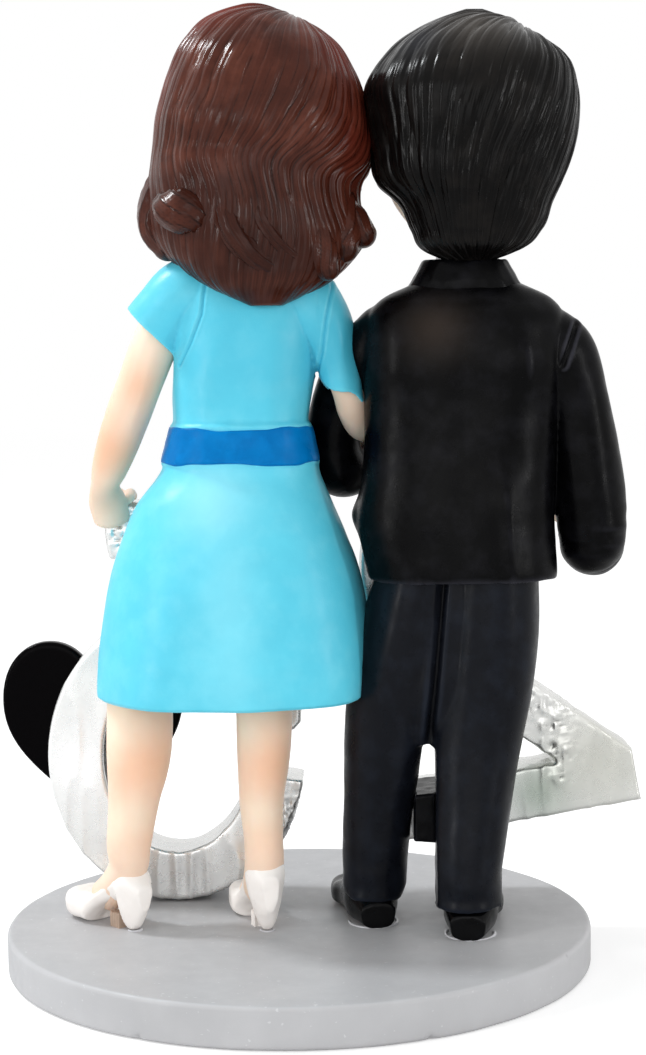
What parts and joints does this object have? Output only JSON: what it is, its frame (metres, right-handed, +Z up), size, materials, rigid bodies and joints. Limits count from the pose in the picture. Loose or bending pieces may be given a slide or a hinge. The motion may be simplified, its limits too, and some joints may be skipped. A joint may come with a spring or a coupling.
{
  "type": "wedding couple figurine",
  "caption": "Standing bride and groom on a round plate, with foil-finished anniversary numerals and a glossy heart in front of them.",
  "frame": {"origin": "centre of the round plate's underside, which rests on the table", "axes": "+Z up, the couple faces -Y, the bride stands on the +X side"},
  "size_m": [0.1236, 0.108, 0.1749],
  "materials": {
    "base_resin": "cast resin plate, painted satin grey",
    "pump_white": "resin, painted off-white with a soft gloss",
    "raw_print": "bare tan resin with fine layer lines",
    "skin": "resin, painted pale skin colour with a peach shade",
    "dress_turquoise": "resin, painted light turquoise with a satin gloss",
    "belt_blue": "resin, painted royal blue",
    "hair_brown": "resin, painted dark brown with a clear coat",
    "hair_black": "resin, painted black with a clear coat",
    "suit_black": "resin, painted black with a satin gloss",
    "trousers_black": "resin, painted bluish black",
    "shoe_black": "resin, painted gloss black",
    "shirt_white": "resin, painted white",
    "eye_dark": "glossy dark brown paint",
    "foil_silver": "crinkled silver foil and paint over the core",
    "heart_gloss": "high-gloss black enamel",
    "pin_steel": "plain steel wire"
  },
  "bodies": {
    "root": {"base_plate": "base_resin", "bride_shoe_left": "pump_white", "bride_shoe_right": "pump_white", "bride_arch_support_left": "raw_print", "bride_arch_support_right": "raw_print", "bride_leg_left": "skin", "bride_leg_right": "skin", "bride_skirt": "dress_turquoise", "bride_belt": "belt_blue", "bride_bodice": "dress_turquoise", "bride_sleeve_left": "dress_turquoise", "bride_sleeve_right": "dress_turquoise", "bride_arm_left": "skin", "bride_arm_right": "skin", "bride_head": "skin", "bride_neck_pin": "pin_steel", "bride_eye_left": "eye_dark", "bride_eye_right": "eye_dark", "bride_hair": "hair_brown", "groom_trousers": "trousers_black", "groom_shoe_left": "shoe_black", "groom_shoe_right": "shoe_black", "groom_leg_pin_left": "pin_steel", "groom_leg_pin_right": "pin_steel", "groom_jacket": "suit_black", "groom_shirt": "shirt_white", "groom_tie": "belt_blue", "groom_lapel_left": "suit_black", "groom_lapel_right": "suit_black", "groom_collar": "suit_black", "groom_jacket_button_1": "shoe_black", "groom_jacket_button_2": "shoe_black", "groom_sleeve_left": "suit_black", "groom_sleeve_right": "suit_black", "groom_cuff_left": "shirt_white", "groom_cuff_right": "shirt_white", "groom_hand_left": "skin", "groom_hand_right": "skin", "groom_head": "skin", "groom_neck_pin": "pin_steel", "groom_eye_left": "eye_dark", "groom_eye_right": "eye_dark", "groom_hair": "hair_black", "number_5": "foil_silver", "number_5_peg_1": "pin_steel", "number_5_peg_2": "pin_steel", "number_2": "foil_silver", "number_2_mount_block": "suit_black", "heart_plaque": "heart_gloss"}
  },
  "joints": []
}
